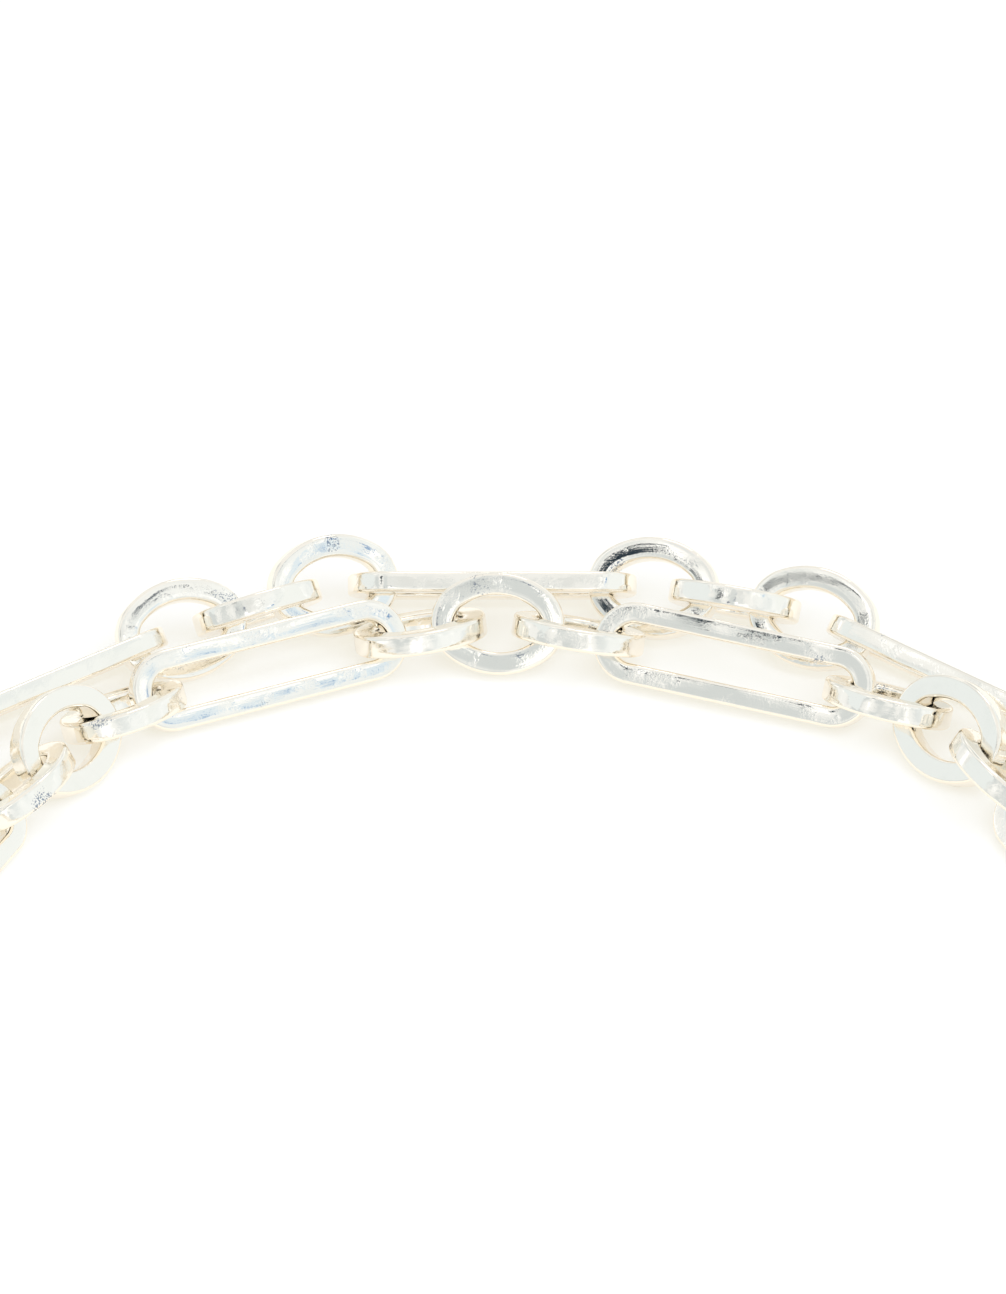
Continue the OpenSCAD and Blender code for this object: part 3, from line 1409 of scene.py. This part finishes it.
@dataclass(frozen=True)
class Studio:
    """Plain pale floor, soft light and the camera. Sizes are in metres.

    The floor and the room have one set of tones for eyes and diffuse light, and one for the
    metal's reflections, in the fields named mirrored. fill is the room's tone for diffuse light
    and backdrop its tone beyond the floor. sensor is in millimetres.
    """

    target: Vector = Vector((0.0004, 0.0782, 0.0))
    elevation: float = 39.0
    distance: float = 0.8
    picture_wide: float = 1006.0
    pixels_per_mm: float = 12.0
    sensor: float = 36.0
    clip: tuple[float, float] = (0.01, 20.0)

    floor_size: float = 6.0
    floor_roughness: float = 0.7
    floor_base: Colour = (0.25, 0.30, 0.41)
    floor_base_mirrored: Colour = (0.29, 0.28, 0.253)
    floor_glow: Colour = (1.0, 0.925, 0.73)
    floor_glow_mirrored: Colour = (1.0, 0.95, 0.865)
    glow_strength: float = 0.705
    glow_strength_mirrored: float = 0.68

    fill: float = 0.55
    backdrop: float = 1.06
    ceiling_mirrored: Colour = (0.94, 0.935, 0.91)
    ceiling_from: float = 0.72
    walls_mirrored: tuple[Colour, Colour, Colour] = (
        (0.68, 0.715, 0.715),
        (0.945, 0.95, 0.93),
        (1.25, 1.26, 1.25),
    )
    walls_scale: float = 3.6
    walls_from: tuple[tuple[float, float], tuple[float, float]] = ((0.36, 0.56), (0.58, 0.66))
    aside_mirrored: Colour = (0.99, 1.03, 1.03)
    aside_from: tuple[float, float] = (0.05, 0.6)
    aside_share: float = 0.6

    softbox_place: Vector = Vector((0.30, -0.65, 1.25))
    softbox_size: tuple[float, float] = (1.9, 1.3)
    softbox_power: float = 27.0

    def build(self) -> None:
        """Add the floor, the light and the camera."""
        self.add_floor()
        self.add_sky()
        self.add_softbox()
        for card in CARDS:
            card.build(self.target)
        self.add_camera()
        bpy.context.scene.view_settings.view_transform = "Standard"
        LOG.info("studio: floor, sky, softbox, %d cards and camera", len(CARDS))

    def add_floor(self) -> None:
        """Add the floor: one smooth pale sheet."""
        deselect_all()
        bpy.ops.mesh.primitive_plane_add(size=self.floor_size, location=(0.0, 0.0, 0.0))
        floor = bpy.context.object
        floor.name = "floor"
        material = bpy.data.materials.new("pale_floor")
        nodes = NodeTree.emptied(material)
        gloss = nodes.add("ShaderNodeLightPath").outputs["Is Glossy Ray"]
        more = nodes.math("MULTIPLY", gloss, self.glow_strength_mirrored - self.glow_strength)
        shader = nodes.set(
            nodes.add("ShaderNodeBsdfPrincipled"),
            Roughness=self.floor_roughness,
            Base_Color=nodes.mix(gloss, self.floor_base, self.floor_base_mirrored),
            Emission_Color=nodes.mix(gloss, self.floor_glow, self.floor_glow_mirrored),
            Emission_Strength=nodes.math("ADD", more, self.glow_strength),
        )
        nodes.put_out("ShaderNodeOutputMaterial", shader.outputs["BSDF"])
        floor.data.materials.append(material)

    def add_sky(self) -> None:
        """Add the even light of a pale room, with uneven walls where the metal mirrors it."""
        world = bpy.data.worlds.new("pale_room")
        bpy.context.scene.world = world
        nodes = NodeTree.emptied(world)
        way = nodes.add("ShaderNodeTexCoord").outputs["Generated"]
        parts = nodes.split(way)
        things = nodes.noise(Vector=way, Scale=self.walls_scale, Detail=2.0, Roughness=0.5)
        walls, *brighter = self.walls_mirrored
        for limits, tone in zip(self.walls_from, brighter):
            walls = nodes.mix(nodes.ramp(things, *limits), walls, tone)
        aside = nodes.math("MULTIPLY", nodes.ramp(parts["X"], *self.aside_from), self.aside_share)
        walls = nodes.mix(aside, walls, self.aside_mirrored)
        upward = nodes.ramp(parts["Z"], self.ceiling_from, 1.0)
        mirrored = nodes.mix(upward, walls, self.ceiling_mirrored)
        path = nodes.add("ShaderNodeLightPath").outputs
        plain = nodes.mix(path["Is Diffuse Ray"], (self.backdrop,) * 3, (self.fill,) * 3)
        background = nodes.add("ShaderNodeBackground")
        nodes.set(background, Color=nodes.mix(path["Is Glossy Ray"], plain, mirrored))
        nodes.put_out("ShaderNodeOutputWorld", background.outputs[0])

    def add_softbox(self) -> None:
        """Add a large soft light above the camera's side of the object."""
        deselect_all()
        turn = facing(self.target - self.softbox_place)
        bpy.ops.object.light_add(type="AREA", location=self.softbox_place, rotation=turn)
        light = bpy.context.object
        light.name = "softbox"
        light.data.shape = "RECTANGLE"
        light.data.size, light.data.size_y = self.softbox_size
        light.data.energy = self.softbox_power
        light.visible_glossy = False

    def add_camera(self) -> None:
        """Add the camera at the picture's viewing angle."""
        deselect_all()
        away = direction(0.0, self.elevation)
        bpy.ops.object.camera_add(
            location=self.target + away * self.distance, rotation=facing(-away)
        )
        camera = bpy.context.object
        camera.data.sensor_fit = "HORIZONTAL"
        camera.data.sensor_width = self.sensor
        seen = self.picture_wide / self.pixels_per_mm * MM
        camera.data.lens = self.sensor * self.distance / seen
        camera.data.clip_start, camera.data.clip_end = self.clip
        bpy.context.scene.camera = camera


CARDS = (
    Card("left_reflector", -82.0, 28.0, 1.2, 1.0, 0.7, (0.95, 1.0, 1.0), 0.90),
    Card("right_reflector", 82.0, 28.0, 1.2, 1.0, 0.7, (0.97, 1.0, 0.985), 0.97),
    Card("top_reflector", 165.0, 62.0, 1.2, 0.4, 0.26, (1.0, 1.0, 0.98), 2.5),
    Card("pale_middle", 4.0, 37.0, 0.90, 0.220, 0.110, (1.0, 1.0, 0.98), 1.3),
    Card("pale_beside", -5.4, 41.5, 0.86, 0.060, 0.100, (1.0, 1.0, 0.98), 1.3),
    Card("pale_right", 42.5, 45.5, 0.86, 0.055, 0.050, (1.0, 1.0, 0.99), 1.2),
    Card("grey_above", 0.5, 52.0, 0.88, 0.100, 0.100, (0.79, 0.805, 0.79), 1.0),
    Card("dark_above", -8.7, 46.5, 0.84, 0.034, 0.034, (0.04, 0.08, 0.17), 1.0),
    Card("dark_beside", -18.0, 41.5, 0.84, 0.026, 0.050, (0.05, 0.08, 0.14), 1.0),
    Card("dark_left", -36.0, 48.8, 0.84, 0.062, 0.038, (0.03, 0.045, 0.06), 1.0),
    Card("dark_near", -36.2, 50.0, 0.176, 0.014, 0.018, (0.03, 0.045, 0.06), 1.0),
    Card("dark_right", 35.0, 52.5, 0.84, 0.036, 0.030, (0.03, 0.05, 0.08), 1.0),
    Card("blue_right", 48.0, 44.5, 0.84, 0.050, 0.032, (0.22, 0.38, 0.62), 1.0),
    Card("blue_below", 40.5, 39.2, 0.84, 0.024, 0.022, (0.30, 0.46, 0.68), 1.0),
    Card("pale_blue_right", 41.5, 40.2, 0.87, 0.100, 0.070, (0.78, 0.88, 0.95), 1.0),
)

RING = OvalRing(length=11.1, width=8.5, wire=SquareWire(1.88), end_r=3.6)
LONG = LongLink(length=24.1, width=6.8, wire=SquareWire(1.72))
CLASP = ClaspSize()

INNER_ROWS = (
    Row(57, -33, 0.2, 0.9),
    Row(54, 48, 0.1, 0.8),
    Row(37, -28, 0.4, 0.8),
    Row(22, 48, 0.4, 0.7),
    Row(12, -26, 0.7, 0.8),
    Row(-5, 50, 0.2, 0.6),
    Row(-12, -32, 0.7, 0.5),
    Row(-19, 48, 0.6, 0.6),
    Row(-28, -32, 0.6, 0.8),
    Row(-48, 49, 0.1, 0.5),
    Row(-60, -40, 0.1, 0.8),
)
OUTER_ROWS = (
    Row(34, -45, 0.1, 0.5),
    Row(21, 43, 0.1, 0.5),
    Row(25, -46, 0.2, 0.6),
    Row(20, 49, 0.4, 0.5),
    Row(0, -45, 0.3, 0.4),
    Row(-15, 44, 0.1, 0.4),
    Row(-15, -45, 0.1, 0.4),
    Row(-23, 45, 0.1, 0.5),
    Row(-37, -48, 0.1, 0.8),
)

INNER = ChainPlan(
    name="inner",
    parity=0,
    links=39,
    long_place=2,
    middle=Vector((0.0, 76.4)),
    start_handle=70.0,
    first_row=15,
    rows=INNER_ROWS,
    singles=(10, 30),
    runs=(
        Run("left_near_clasp", 1, 4),
        Run("left_side", 5, 9),
        Run("right_side", 31, 35),
        Run("right_near_clasp", 36, 39),
    ),
    ring=RING,
    long=LONG,
    clasp=CLASP,
)
OUTER = ChainPlan(
    name="outer",
    parity=1,
    links=47,
    long_place=0,
    middle=Vector((-0.5, 82.4)),
    start_handle=44.0,
    first_row=20,
    rows=OUTER_ROWS,
    singles=(15, 33),
    runs=(
        Run("left_near_clasp", 1, 7),
        Run("left_side", 8, 14),
        Run("right_side", 34, 40),
        Run("right_near_clasp", 41, 47),
    ),
    ring=RING,
    long=LONG,
    clasp=CLASP,
)


def main() -> None:
    """Build the chains, the clasp and the studio in order."""
    effects = Effects(Grain(), Specks(), PolishLines(), TarnishAndReflection(), Waves())
    finishes = {
        LinkForm.RING: SilverFinish("ring_silver").make(effects),
        LinkForm.LONG: SilverFinish("long_link_silver", shift=(0.3, 0.1, 0.2)).make(effects),
    }
    masters = {LinkForm.RING: RING.build(), LinkForm.LONG: LONG.build()}
    for plan in (INNER, OUTER):
        Chain(plan, masters, finishes).build()
    for master in masters.values():
        bpy.data.objects.remove(master)
    Clasp(CLASP, SilverFinish("clasp_silver", line_depth=0.0).make(effects)).build()
    Studio().build()


if __name__ == "__main__":
    main()
